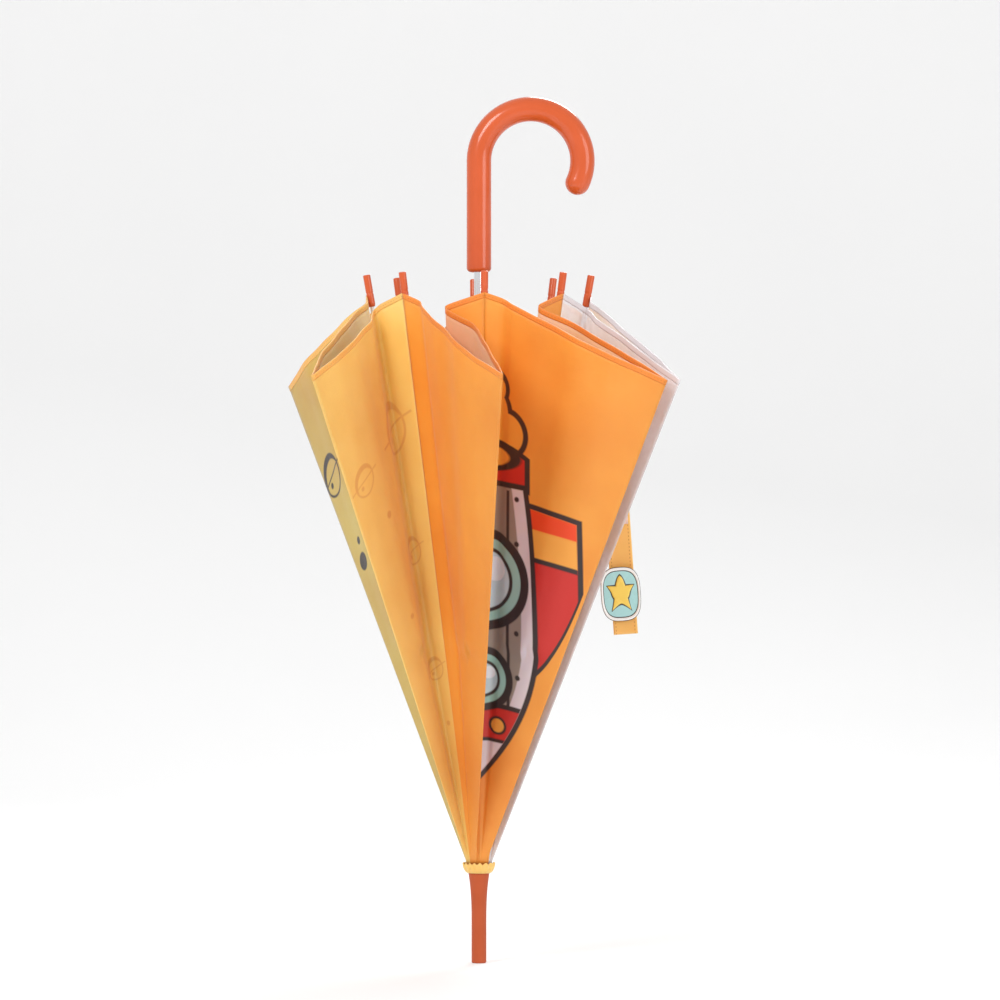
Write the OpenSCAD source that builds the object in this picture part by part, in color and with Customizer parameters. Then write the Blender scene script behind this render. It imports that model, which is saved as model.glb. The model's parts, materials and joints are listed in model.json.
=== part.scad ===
// Children's stick umbrella, folded, standing on its ferrule tip.
// Origin: centre of the ferrule's end face. +Z runs up the shaft to the handle,
// +X is the side that the hook curls to, and -Y is the front.

/* [Shaft and handle] */
// Outer radius of the shaft tube
shaft_r = 4; // [3.5:0.25:4.5]
// Height of the handle's lower end
handle_z = 558; // [556:1:575]
// Radius of the handle's round section
handle_r = 10; // [9:0.5:11]
// Length of the handle's straight stretch
handle_straight = 90; // [70:5:110]
// Radius of the hook's centre line
hook_r = 41.8; // [36:0.2:48]
// How far the hook sweeps round
hook_sweep = 205; // [180:5:220]

/* [Ferrule] */
// Radius of the ferrule at its tip
ferrule_tip_r = 6; // [5:0.25:6.5]
// Radius of the ferrule where it meets the crown
ferrule_top_r = 8.6; // [8:0.2:9]
// Length of the ferrule
ferrule_h = 73.5; // [60:0.5:73.5]

/* [Ribs] */
// Height of the rib pivots in the crown
crown_z = 77; // [77:0.5:80]
// Distance from a rib's pivot to its very end
rib_len = 486; // [470:2:490]
// Radius of a rib rod
rib_r = 1.6; // [1.2:0.1:1.8]
// Angle of the folded ribs from the shaft
fold_angle = 10; // [9:0.5:12]
// Angle of the spread ribs from the shaft
open_angle = 70; // [65:1:75]
// Length of a stretcher between its two pivots
stretcher_len = 207; // [200:1:210]

/* [Canopy] */
// Distance from the crown to the hem along a rib
hem_at_rib = 469; // [460:1:472]
// Distance from the crown to the hem along a panel's middle
hem_at_middle = 440; // [425:1:455]
// Bearings of the folded panels' creases, counted from the front
crease_bearing = [46, 49, 134, 160, 205, 229, 321, 366.5];

/* [Hidden] */
$fn = 48;
RIBS = 8;
first_bearing = 3;          // the front rib stands a little to the right of the front
pitch = 360 / RIBS;
pivot_r = 6.5;              // radius of the rings of pivots in the crown and the runner
wire_r = 0.6;               // ring wires
eye_bore = 0.68;            // flat eyes turn on the ring wires
eye_r = 1.9;
eye_t = 1.6;
slot_w = 2.2;
crown_r = 8.6;
crown_low = ferrule_h;
crown_high = crown_z + 3.5;
eye_flat = 9;               // the flattened stretch of a rib or a stretcher
rivet_r = 0.9;
rivet_gap = 0.05;
fork_gap = 3.6;             // clear width between a fork's two cheeks
fork_t = 0.9;
fork_slot = 14;             // depth of the fork, so that a folded rib lies in it
stretcher_r = 1.4;
cloth_off = 3;              // the cloth runs this far outside a rib's centre line
tip_r = 3;
tip_len = 26;
tube_wall = 0.6;
shaft_low = 20;
shaft_high = 600;
runner_z = crown_z + 2 * stretcher_len * cos(fold_angle);
runner_open_z = crown_z + 2 * stretcher_len * cos(open_angle);
runner_bore = shaft_r + 0.08;
runner_r = 6.4;
runner_sleeve = 45;
head_h = 8;
catch_t = 1.2;
catch_h = 16;
catch_out = 2.2;
catch_slot = 1.6;
lower_catch_z = runner_z + 26;
upper_catch_z = runner_open_z + runner_sleeve + 1 + catch_h / 2;
panel_t = 0.7;
panel_gap = 0.25;
panel_start = 48;           // the panels start this far from the crown
fold_margin = 0.07;
crease_margin = 0.035;
taut = 0.99;                // how tight the farther half of a folded panel is pulled
strap_w = 20;
strap_len = 123;
strap_t = 1.2;
strap_pos = [116, 117.5, 386];
strap_tilt = -4;
badge_w = 34;
badge_h = 46;
badge_t = 2.4;

// Colours
orange = [0.86, 0.38, 0.16];
steel = [0.80, 0.81, 0.83];
chrome = [0.90, 0.91, 0.93];
white = [0.93, 0.93, 0.92];
canopy_orange = [0.98, 0.62, 0.27];
canopy_yellow = [0.96, 0.76, 0.42];
clear_film = [0.94, 0.90, 0.91, 0.5];

// Bearing of rib i, from the front towards +X
function bearing(i) = first_bearing + pitch * (i - 1);
// Unit vectors: outwards at a bearing, along the ring of ribs, and along a rib
function outward(b) = [sin(b), -cos(b), 0];
function along(b) = [cos(b), sin(b), 0];
function ray(b, a) = outward(b) * sin(a) + [0, 0, cos(a)];
function unit(v) = v / norm(v);
function angle_between(a, b) = atan2(norm(cross(a, b)), a * b);
// The point a part x of the way round the great circle from a to b
function arc(a, b, x) =
    let (w = angle_between(a, b)) (a * sin(w * (1 - x)) + b * sin(w * x)) / sin(w);
// v turned by an angle about the unit vector k
function turned(v, k, a) =
    v * cos(a) + cross(k, v) * sin(a) + k * (k * v) * (1 - cos(a));

// Half of a panel spans this angle, seen from the crown
half_gore = asin(sin(open_angle) * sin(pitch / 2));
// Lean of the crease at bearing c that keeps the half on the rib at bearing b taut
function lean_for(c, b) =
    let (p = cos(fold_angle), q = sin(fold_angle) * cos(c - b))
    atan2(q, p) + acos(cos(half_gore * taut) / norm([p, q]));
function crease_lean(i) =
    min(lean_for(crease_bearing[i - 1], bearing(i)),
        lean_for(crease_bearing[i - 1], bearing(i + 1)));
function crease_ray(i) = ray(crease_bearing[i - 1], crease_lean(i));
// Direction of panel i's middle when spread, seen from the rib at bearing b after
// that rib has been folded back
function middle_ray(i, b) =
    turned(unit(ray(bearing(i), open_angle) + ray(bearing(i + 1), open_angle)),
           along(b), fold_angle - open_angle);
// Part of the half at which its fold line lies: the fold line is as far from the
// spread middle as from the folded crease
function fold_part(i, b, low = 0, high = 1, n = 24) =
    let (m = (low + high) / 2,
         p = arc(ray(b, fold_angle), middle_ray(i, b), m),
         d = crease_ray(i) - middle_ray(i, b))
    n == 0 ? m
    : (p * d) * (ray(b, fold_angle) * d) > 0 ? fold_part(i, b, m, high, n - 1)
    : fold_part(i, b, low, m, n - 1);

// Everything in this module is set out along a rib: the pivot is the origin and
// the child's +Z is the rib
module on_rib(i) {
    rotate([0, 0, bearing(i) - 90])
        translate([pivot_r, 0, crown_z]) rotate([0, fold_angle, 0]) children();
}

// The same for a stretcher, with its outer pivot at the origin and +Z towards
// the runner
module on_stretcher(i) {
    rotate([0, 0, bearing(i) - 90])
        translate([pivot_r + stretcher_len * sin(fold_angle), 0,
                   crown_z + stretcher_len * cos(fold_angle)])
            rotate([0, -fold_angle, 0]) children();
}

module cross_pin(r, h) {
    rotate([90, 0, 0]) cylinder(r = r, h = h, center = true);
}

module shaft_tube() {
    color(chrome) difference() {
        translate([0, 0, shaft_low]) cylinder(r = shaft_r, h = shaft_high - shaft_low);
        translate([0, 0, shaft_low - 1])
            cylinder(r = shaft_r - tube_wall, h = shaft_high - shaft_low + 2);
        for (z = [lower_catch_z, upper_catch_z])
            translate([0, -catch_slot / 2, z - catch_h / 2 - 0.3])
                cube([shaft_r + 1, catch_slot, catch_h + 0.6]);
    }
}

module handle() {
    edge = 3.5;
    join_step = 0.03;   // the straight stretch is this much slimmer than the hook
    color(orange) difference() {
        union() {
            translate([0, 0, handle_z + edge])
                cylinder(r = handle_r - join_step, h = handle_straight - edge);
            translate([0, 0, handle_z]) cylinder(r = handle_r - edge, h = 2 * edge);
            translate([0, 0, handle_z + edge]) rotate_extrude()
                translate([handle_r - edge, 0]) circle(r = edge - join_step);
            translate([hook_r, 0, handle_z + handle_straight]) rotate([90, 0, 0])
                rotate([0, 0, 180 - hook_sweep])
                    rotate_extrude(angle = hook_sweep, $fn = 96)
                        translate([hook_r, 0]) circle(r = handle_r);
            translate([hook_r, 0, handle_z + handle_straight])
                rotate([0, hook_sweep - 180, 0]) translate([hook_r, 0, 0])
                    sphere(r = handle_r);
        }
        translate([0, 0, handle_z - 1]) cylinder(r = shaft_r, h = shaft_high - handle_z + 1);
    }
}

module ferrule() {
    tip_edge = 1;
    straight = 32;
    color(orange) difference() {
        rotate_extrude() polygon(concat(
            [[0, 0]],
            [for (a = [0:15:90]) [ferrule_tip_r - tip_edge + tip_edge * sin(a),
                                  tip_edge - tip_edge * cos(a)]],
            [[ferrule_tip_r, straight]],
            [for (k = [1:8]) let (u = k / 8)
                [ferrule_tip_r + (ferrule_top_r - ferrule_tip_r) * pow(u, 2.6),
                 straight + (ferrule_h - straight) * u]],
            [[0, ferrule_h]]));
        translate([0, 0, shaft_low]) cylinder(r = shaft_r, h = ferrule_h);
    }
}

// A ring of slots for the flat eyes, and an open groove for their ring wire.
// The wire lies at z = 0, and the groove opens upwards
module eye_slots(reach_down, reach_up) {
    for (i = [1:RIBS])
        rotate([0, 0, bearing(i) - 90])
            translate([shaft_r + 0.4, -slot_w / 2, -reach_down])
                cube([10, slot_w, reach_down + reach_up]);
    rotate_extrude() union() {
        translate([pivot_r, 0]) circle(r = wire_r);
        translate([pivot_r - wire_r, 0]) square([2 * wire_r, reach_up]);
    }
}

module crown() {
    color(white) difference() {
        translate([0, 0, crown_low]) cylinder(r = crown_r, h = crown_high - crown_low);
        translate([0, 0, crown_low - 1]) cylinder(r = shaft_r, h = 20);
        translate([0, 0, crown_z]) eye_slots(2.4, 6);
    }
}

module wire_ring(z) {
    translate([0, 0, z]) rotate_extrude() translate([pivot_r, 0]) circle(r = wire_r);
}

module crown_wire() {
    color(steel) wire_ring(crown_z);
}

// The gathered cloth washer between the canopy and the ferrule
module rosette() {
    lobes = 18;
    thickness = 1.6;
    color(canopy_yellow) translate([0, 0, ferrule_h]) difference() {
        linear_extrude(height = thickness) polygon([for (a = [0:5:355])
            (12 + 0.5 * cos(lobes * a)) * [cos(a), sin(a)]]);
        translate([0, 0, -1]) cylinder(r = crown_r, h = thickness + 2);
    }
}

// A leaf-spring catch: a plate whose sloped end stands out of the shaft
module catch_plate() {
    out = shaft_r + catch_out;
    color(steel) translate([0, catch_t / 2, 0]) rotate([90, 0, 0])
        linear_extrude(height = catch_t) polygon([
            [-1, -catch_h / 2], [shaft_r - 0.5, -catch_h / 2], [out, 0],
            [out, catch_h / 2], [-1, catch_h / 2]]);
}

module lower_catch() {
    translate([0, 0, lower_catch_z]) catch_plate();
}

module upper_catch() {
    translate([0, 0, upper_catch_z]) mirror([0, 0, 1]) catch_plate();
}

module runner() {
    window = catch_h + 3;
    color(white) difference() {
        translate([0, 0, runner_z]) union() {
            translate([0, 0, -head_h / 2]) cylinder(r = crown_r, h = head_h);
            cylinder(r = runner_r, h = runner_sleeve);
            translate([0, 0, runner_sleeve - 4]) cylinder(r = runner_r + 0.8, h = 4);
        }
        cylinder(r = runner_bore, h = shaft_high);
        translate([0, 0, runner_z]) mirror([0, 0, 1]) eye_slots(2.4, 6);
        translate([0, -slot_w / 2, lower_catch_z - window / 2])
            cube([runner_r + 2, slot_w, window]);
    }
}

module runner_wire() {
    color(steel) wire_ring(runner_z);
}

module rib(i) {
    color(white) on_rib(i) difference() {
        union() {
            cross_pin(eye_r, eye_t);
            translate([-rib_r, -eye_t / 2, 0]) cube([2 * rib_r, eye_t, eye_flat + 1]);
            translate([0, 0, eye_flat]) cylinder(r = rib_r, h = rib_len - 3 - eye_flat);
        }
        cross_pin(eye_bore, eye_t + 1);
        translate([0, 0, stretcher_len]) cross_pin(rivet_r, 2 * rib_r + 1);
    }
}

module tip(i) {
    edge = 0.8;
    color(orange) on_rib(i) translate([0, 0, rib_len - tip_len]) difference() {
        rotate_extrude() polygon([
            [0, 0], [tip_r - edge, 0], [tip_r, edge],
            [tip_r, tip_len - edge], [tip_r - edge, tip_len], [0, tip_len]]);
        translate([0, 0, -1]) cylinder(r = rib_r, h = tip_len - 3 + 1);
    }
}

module rivet(i) {
    half = fork_gap / 2 + fork_t + 0.1;
    head_t = 0.7;
    color(steel) on_rib(i) translate([0, 0, stretcher_len]) union() {
        cross_pin(rivet_r, 2 * half + 0.2);
        for (s = [-1, 1])
            translate([0, s * (half + head_t / 2), 0]) cross_pin(2 * rivet_r, head_t);
    }
}

module stretcher(i) {
    cheek_r = 2.3;
    color(steel) on_stretcher(i) difference() {
        union() {
            for (s = [-1, 1])
                translate([0, s * (fork_gap + fork_t) / 2, 0]) union() {
                    cross_pin(cheek_r, fork_t);
                    translate([-stretcher_r - 0.4, -fork_t / 2, 0])
                        cube([2 * stretcher_r + 0.8, fork_t, fork_slot + 3]);
                }
            translate([-stretcher_r - 0.4, -fork_gap / 2 - fork_t, fork_slot])
                cube([2 * stretcher_r + 0.8, fork_gap + 2 * fork_t, 3]);
            translate([0, 0, fork_slot + 1])
                cylinder(r = stretcher_r, h = stretcher_len - eye_flat - fork_slot - 1);
            translate([-stretcher_r, -eye_t / 2, stretcher_len - eye_flat - 1])
                cube([2 * stretcher_r, eye_t, eye_flat + 1]);
            translate([0, 0, stretcher_len]) cross_pin(eye_r, eye_t);
        }
        cross_pin(rivet_r + rivet_gap, 2 * fork_gap);
        translate([0, 0, stretcher_len]) cross_pin(eye_bore, eye_t + 1);
    }
}

// Half of a folded panel, from its fold line by the rib to the crease. It is a
// flat cone: straight lines run from the ring of cloth at the crown to the hem
module panel_half(i, side) {
    b = bearing(side > 0 ? i : i + 1);
    ring = pivot_r + cloth_off * cos(fold_angle);
    level = crown_z - cloth_off * sin(fold_angle);
    part = fold_part(i, b);
    fold = arc(ray(b, fold_angle), middle_ray(i, b), part);
    crease = crease_ray(i);
    columns = 6;
    steps = [for (k = [0:columns]) let (u = k / columns)
        max(part, fold_margin) - part + (1 - crease_margin - max(part, fold_margin) + part) * u];
    function root(s) = outward(b + side * pitch / 2 * s) * ring * (1 - (1 - cos(pitch / 2)) * s)
        + [0, 0, level];
    function skin(u, rho, lift) =
        let (s = part + (1 - part) * u,
             c = arc(fold, crease, u),
             e = arc(fold, crease, u + 0.01) - c)
        root(s) + c * rho + unit(cross(e, c)) * side * lift;
    function hem(u) = hem_at_middle + (hem_at_rib - hem_at_middle) * pow(1 - u, 2);
    points = [for (u = steps, k = [0:3])
        skin(u, k < 2 ? panel_start : hem(part + (1 - part) * u),
             panel_gap + (k % 2) * panel_t)];
    // In each column the points are: inner start, outer start, inner hem, outer hem
    quads = concat(
        [for (c = [0:columns - 1]) let (p = 4 * c, q = 4 * c + 4) each [
            [p, p + 2, q + 2, q], [p + 1, q + 1, q + 3, p + 3],
            [p, q, q + 1, p + 1], [p + 2, p + 3, q + 3, q + 2]]],
        [[0, 1, 3, 2], [4 * columns, 4 * columns + 2, 4 * columns + 3, 4 * columns + 1]]);
    faces = [for (q = quads) each [[q[0], q[1], q[2]], [q[0], q[2], q[3]]]];
    film = i == 2;
    yellow = i == 3 || i == 6 || i == 7;
    color(film ? clear_film : yellow ? canopy_yellow : canopy_orange)
        polyhedron(points, side > 0 ? faces : [for (f = faces) [f[2], f[1], f[0]]]);
}

module on_strap() {
    translate(strap_pos) rotate([0, strap_tilt, 0]) children();
}

module strap() {
    color(canopy_yellow) on_strap() translate([-strap_w / 2, -strap_t / 2, -strap_len])
        cube([strap_w, strap_t, strap_len]);
}

module badge() {
    corner = 10;
    color(white) on_strap()
        translate([-2, -strap_t / 2, -strap_len + 10 + badge_h / 2]) rotate([90, 0, 0])
            linear_extrude(height = badge_t) hull() for (x = [-1, 1], y = [-1, 1])
                translate([x * (badge_w / 2 - corner), y * (badge_h / 2 - corner)])
                    circle(r = corner, $fn = 32);
}

shaft_tube();
handle();
ferrule();
crown();
crown_wire();
rosette();
lower_catch();
upper_catch();
runner();
runner_wire();
strap();
badge();
for (i = [1:RIBS]) {
    rib(i);
    tip(i);
    stretcher(i);
    rivet(i);
    panel_half(i, 1);
    panel_half(i, -1);
}
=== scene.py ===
"""A child's folded stick umbrella: cloth, window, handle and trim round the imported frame."""

import json
import math

import bmesh
import bpy
import numpy as np
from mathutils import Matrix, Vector


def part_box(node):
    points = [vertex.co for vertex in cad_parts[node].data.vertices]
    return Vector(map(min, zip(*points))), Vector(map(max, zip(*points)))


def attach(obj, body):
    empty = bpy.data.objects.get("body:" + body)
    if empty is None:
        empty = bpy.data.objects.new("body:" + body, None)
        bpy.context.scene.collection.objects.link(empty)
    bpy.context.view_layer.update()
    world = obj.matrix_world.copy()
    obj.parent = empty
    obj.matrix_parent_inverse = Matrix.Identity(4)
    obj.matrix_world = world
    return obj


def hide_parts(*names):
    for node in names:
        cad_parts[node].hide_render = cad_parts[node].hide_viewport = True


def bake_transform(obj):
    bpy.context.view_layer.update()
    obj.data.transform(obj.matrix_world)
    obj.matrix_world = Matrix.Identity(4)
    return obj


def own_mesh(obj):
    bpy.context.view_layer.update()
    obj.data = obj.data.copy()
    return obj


bl_info = {
    "name": "Child's Umbrella",
    "version": (1, 0, 0),
    "blender": (4, 5, 0),
    "location": "3D View > Sidebar > Umbrella",
    "description": "Builds the cloth, handle, trim and finishes of a folded stick umbrella",
    "category": "Add Mesh",
}

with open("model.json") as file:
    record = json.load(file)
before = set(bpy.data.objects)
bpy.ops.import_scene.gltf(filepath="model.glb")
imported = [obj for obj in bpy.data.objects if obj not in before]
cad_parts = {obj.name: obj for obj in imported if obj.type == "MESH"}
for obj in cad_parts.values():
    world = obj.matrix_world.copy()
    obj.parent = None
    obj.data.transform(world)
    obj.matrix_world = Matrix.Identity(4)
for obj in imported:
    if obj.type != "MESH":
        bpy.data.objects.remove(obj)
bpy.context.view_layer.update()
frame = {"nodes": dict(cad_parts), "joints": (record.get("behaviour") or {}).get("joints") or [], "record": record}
JOINTS = {j["name"]: j for j in frame["joints"]}
RATIOS = {c["joint"]: c["ratio"] for c in frame["record"]["behaviour"]["couplings"]}
RIBS = 8
OPENING = "canopy_open"
SWING = math.radians(JOINTS[OPENING]["range_deg"][1])
FILM_GORE = 2
YELLOW_GORES = (3, 6, 7)
# The yellow panel with painted shade: its outer face is a darker copy of the yellow cloth, for the panel that
# falls in shadow.
SHADED_YELLOW_GORE = 6
PRINT_RIB = 1
TIP_LENGTH = 0.026
PLEAT_END = 0.185
INK = (0.030, 0.020, 0.020, 1)
STAR_POINTS = 5
STAR_STEP = 2 * math.pi / STAR_POINTS
STAR_OUT, STAR_IN = 0.70, 0.36
STAR_X, STAR_Y = STAR_IN * math.cos(STAR_STEP / 2), STAR_IN * math.sin(STAR_STEP / 2)


# ---------------------------------------------------------------- vectors

def unit(v):
    """v at length 1, along the last axis."""
    v = np.asarray(v, float)
    return v / np.linalg.norm(v, axis=-1, keepdims=True)


def turned(v, axis, angle):
    """v turned about a unit axis by angle, which may be one value or one for each v."""
    v = np.asarray(v, float)
    angle = np.asarray(angle, float)[..., None]
    along = (v @ axis)[..., None] * axis
    return v * np.cos(angle) + np.cross(axis, v) * np.sin(angle) + along * (1 - np.cos(angle))


def arc(a, b, x):
    """The directions a part x of the way round the great circle from a to b."""
    w = math.acos(float(np.clip(a @ b, -1, 1)))
    x = np.asarray(x, float)[..., None]
    return (a * np.sin(w * (1 - x)) + b * np.sin(w * x)) / math.sin(w)


def smooth(t):
    """0 before 0, 1 after 1, and a cubic step between."""
    t = np.clip(t, 0, 1)
    return t * t * (3 - 2 * t)


# ---------------------------------------------------------------- the frame's layout

class Rib:
    """One rib, folded: its pivot, its hinge axis, its direction, and the way out of the shaft."""

    def __init__(self, number):
        hinge = JOINTS[OPENING if number == 1 else f"rib_{number}_swing"]
        fold = JOINTS[f"stretcher_{number}_fold"]
        self.body = f"rib_{number}"
        self.pivot = np.array(hinge["pos_m"], float)
        self.axis = unit(hinge["axis"])
        self.ray = unit(np.array(fold["pos_m"], float) - self.pivot)
        self.out = np.array([self.axis[1], -self.axis[0], 0.0])
        self.lift = unit(np.cross(self.ray, self.axis))
        if self.lift @ self.out < 0:
            self.lift = -self.lift

    def spread(self, v):
        """A direction fixed to the rib, once the umbrella is open."""
        return turned(v, self.axis, SWING)

    def folded(self, points):
        """Points on the open umbrella, carried back with the rib to where they fold from."""
        return self.pivot + turned(points - self.pivot, self.axis, -SWING)


RIB = {n: Rib(n) for n in range(1, RIBS + 1)}
RIB_END = TIP_LENGTH / 2 + float(np.linalg.norm(
    (np.array(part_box("tip_1")[0]) + np.array(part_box("tip_1")[1])) / 2 - RIB[1].pivot))


class Half:
    """Half of a cloth panel, from its rib to the crease down the panel's middle.

    On the open umbrella it is a flat cone between the rib and the middle. It folds about one line near its rib,
    and turns about that line."""

    def __init__(self, gore, letter, sizes):
        self.name = f"{gore}{letter}"
        self.gore, self.side = gore, 1 if letter == "a" else -1
        number = gore if letter == "a" else gore % RIBS + 1
        other = gore % RIBS + 1 if letter == "a" else gore
        self.rib, self.other, self.number = RIB[number], RIB[other], number
        self.body = f"panel_{gore}{letter}"
        joint = JOINTS[f"{self.body}_fold"]
        self.turn = RATIOS[f"{self.body}_fold"] * SWING
        self.axis = unit(joint["axis"])
        self.hinge = np.array(joint["pos_m"], float)
        self.off = sizes.cloth_off
        self.hem_rib, self.hem_middle = sizes.hem_at_rib, sizes.hem_at_middle
        rib, mate = self.rib, self.other
        self.open_ray = rib.spread(rib.ray)
        self.open_root = rib.pivot + self.off * rib.spread(rib.lift)
        mate_root = mate.pivot + self.off * mate.spread(mate.lift)
        self.middle_ray = unit(self.open_ray + mate.spread(mate.ray))
        self.middle_root = (self.open_root + mate_root) / 2
        self.span = math.acos(float(self.open_ray @ self.middle_ray))
        middle_back = turned(self.middle_ray, rib.axis, -SWING)
        crease = turned(middle_back, self.axis, -self.turn)
        before = unit(middle_back - self.axis * (middle_back @ self.axis))
        after = unit(crease - self.axis * (crease @ self.axis))
        self.across = unit(before + after)
        self.start = self.hinge - sizes.fold_lead * self.across
        self.end = self.start + sizes.fold_width * self.across

    def hem(self, s):
        """Distance from the crown to the hem, a part s of the way from rib to middle."""
        return self.hem_middle + (self.hem_rib - self.hem_middle) * (1 - s) ** 2

    def open_points(self, s, rho, lift):
        """The half on the open umbrella: a ray at s, a distance rho out, raised by lift."""
        root = self.open_root * (1 - s[..., None]) + self.middle_root * s[..., None]
        ray = arc(self.open_ray, self.middle_ray, s)
        up = unit(np.cross(self.middle_ray, self.open_ray)) * self.side
        return root + ray * rho[..., None] + up * lift[..., None]

    def folded_points(self, s, rho, lift):
        """The same points on the folded umbrella.

        The rib carries them back, and each then turns about the fold line by the share w of
        the full turn that its own folded place calls for. w is found by halving."""
        back = self.rib.folded(self.open_points(s, rho, lift))
        reach = float((self.end - self.start) @ self.across)

        def placed(w):
            return self.hinge + turned(back - self.hinge, self.axis, -w * self.turn)

        low, high = np.zeros(s.shape), np.ones(s.shape)
        for _ in range(36):
            w = (low + high) / 2
            wanted = smooth(((placed(w) - self.start) @ self.across) / reach)
            low, high = np.where(wanted > w, w, low), np.where(wanted > w, high, w)
        return placed((low + high) / 2)

    def surface(self, s, rho, lift):
        """The folded half. Nearer the crown than PLEAT_END it shrinks as a cone, so that the
        two halves of a panel stay together there: root + (p - root) * rho / PLEAT_END."""
        near = rho < PLEAT_END
        held = np.where(near, PLEAT_END, rho)
        points = self.folded_points(s, held, np.where(near, 0, lift))
        rib_root = self.rib.pivot + self.off * self.rib.lift
        mate_root = self.other.pivot + self.off * self.other.lift
        root = rib_root + (mate_root - rib_root) / 2 * s[..., None]
        shrunk = root + (points - root) * (rho / PLEAT_END)[..., None]
        return np.where(near[..., None], shrunk, points)


# ---------------------------------------------------------------- meshes

def new_object(name, points, faces, uv=None):
    """A smooth-shaded mesh object from points, faces and, for each point, a UV."""
    mesh = bpy.data.meshes.new(name)
    mesh.from_pydata(np.asarray(points, float).reshape(-1, 3).tolist(), [], faces)
    mesh.update()
    mesh.polygons.foreach_set("use_smooth", np.ones(len(mesh.polygons), bool))
    if uv is not None:
        layer = mesh.uv_layers.new(name="flat")
        corner = np.empty(len(mesh.loops), int)
        mesh.loops.foreach_get("vertex_index", corner)
        layer.data.foreach_set("uv", np.asarray(uv, np.float32)[corner].ravel())
    obj = bpy.data.objects.new(name, mesh)
    bpy.context.scene.collection.objects.link(obj)
    return obj


def grid_faces(rows, columns, close_columns=False, flip=False):
    """Quads of a grid of points stored row by row, with its columns wrapped round if asked."""
    r = np.arange(rows - 1)
    c = np.arange(columns if close_columns else columns - 1)
    r, c = (x.ravel() for x in np.meshgrid(r, c, indexing="ij"))
    r1, c1 = r + 1, (c + 1) % columns
    quads = np.stack([r * columns + c, r * columns + c1, r1 * columns + c1, r1 * columns + c], 1)
    return (quads[:, ::-1] if flip else quads).tolist()


def closed_faces(rings, sides, flip=False):
    """Faces of a stack of rings, closed at each end by a fan round a point. The two end
    points come after the rings' own."""
    around = [(k, (k + 1) % sides) for k in range(sides)]
    first, last, top = rings * sides, rings * sides + 1, (rings - 1) * sides
    fans = [[first, after, k] for k, after in around]
    fans += [[last, top + k, top + after] for k, after in around]
    if flip:
        fans = [[end, b, a] for end, a, b in fans]
    return grid_faces(rings, sides, close_columns=True, flip=flip) + fans


def lathe(name, radii, heights, place, direction, sides=48):
    """A turned solid: the outline (radius, height) carried round the line through place.

    Both ends of the outline have radius 0, and each is one point."""
    direction = unit(direction)
    side = unit(np.cross(direction, [0.3, 0.9, 0.1]))
    other = np.cross(direction, side)
    a = np.linspace(0, 2 * math.pi, sides, endpoint=False)
    ring = np.cos(a)[:, None] * side + np.sin(a)[:, None] * other
    radii, heights = np.asarray(radii, float), np.asarray(heights, float)
    body = (np.asarray(place) + heights[1:-1, None, None] * direction
            + radii[1:-1, None, None] * ring[None])
    points = np.concatenate([body.reshape(-1, 3),
                             [place + heights[0] * direction, place + heights[-1] * direction]])
    return new_object(name, points, closed_faces(len(body), sides))


def rounded(corners, radii, steps=6):
    """An outline with its inner corners rounded: each corner becomes a quadratic curve that
    starts and ends radii short of it."""
    corners = np.asarray(corners, float)
    out = [corners[0]]
    for before, at, after, r in zip(corners, corners[1:], corners[2:], radii):
        if r <= 0:
            out.append(at)
            continue
        p, q = at + unit(before - at) * r, at + unit(after - at) * r
        t = np.linspace(0, 1, steps)[:, None]
        out.extend((1 - t) ** 2 * p + 2 * t * (1 - t) * at + t ** 2 * q)
    out.append(corners[-1])
    return np.array(out)


def tube(name, centre, radius, sides=48):
    """A round tube of changing radius along a line that stays in the XZ plane, closed at both
    ends by its first and last radius of 0."""
    centre, radius = np.asarray(centre, float), np.asarray(radius, float)
    ahead = unit(np.gradient(centre[1:-1], axis=0))
    across = np.cross(ahead, [0, 1, 0])
    a = np.linspace(0, 2 * math.pi, sides, endpoint=False)
    ring = (np.cos(a)[None, :, None] * across[:, None]
            + np.sin(a)[None, :, None] * np.array([0, 1.0, 0]))
    body = centre[1:-1, None] + radius[1:-1, None, None] * ring
    points = np.concatenate([body.reshape(-1, 3), centre[[0, -1]]])
    return new_object(name, points, closed_faces(len(body), sides, flip=True))


def outwards(obj):
    """Turns every face outwards on a closed piece."""
    b = bmesh.new()
    b.from_mesh(obj.data)
    bmesh.ops.recalc_face_normals(b, faces=b.faces)
    b.to_mesh(obj.data)
    b.free()
    return obj


def thicken(obj, thickness, lined=0):
    """Gives a sheet its thickness, half to each side, and keeps the result.

    lined is how many places further on the inner face's finish is among the materials."""
    modifier = obj.modifiers.new("thickness", "SOLIDIFY")
    modifier.thickness = thickness
    modifier.offset = 0
    modifier.use_even_offset = False
    modifier.material_offset = lined
    graph = bpy.context.evaluated_depsgraph_get()
    made = bpy.data.meshes.new_from_object(obj.evaluated_get(graph), depsgraph=graph)
    obj.modifiers.clear()
    obj.data = made
    return obj


# ---------------------------------------------------------------- materials

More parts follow.
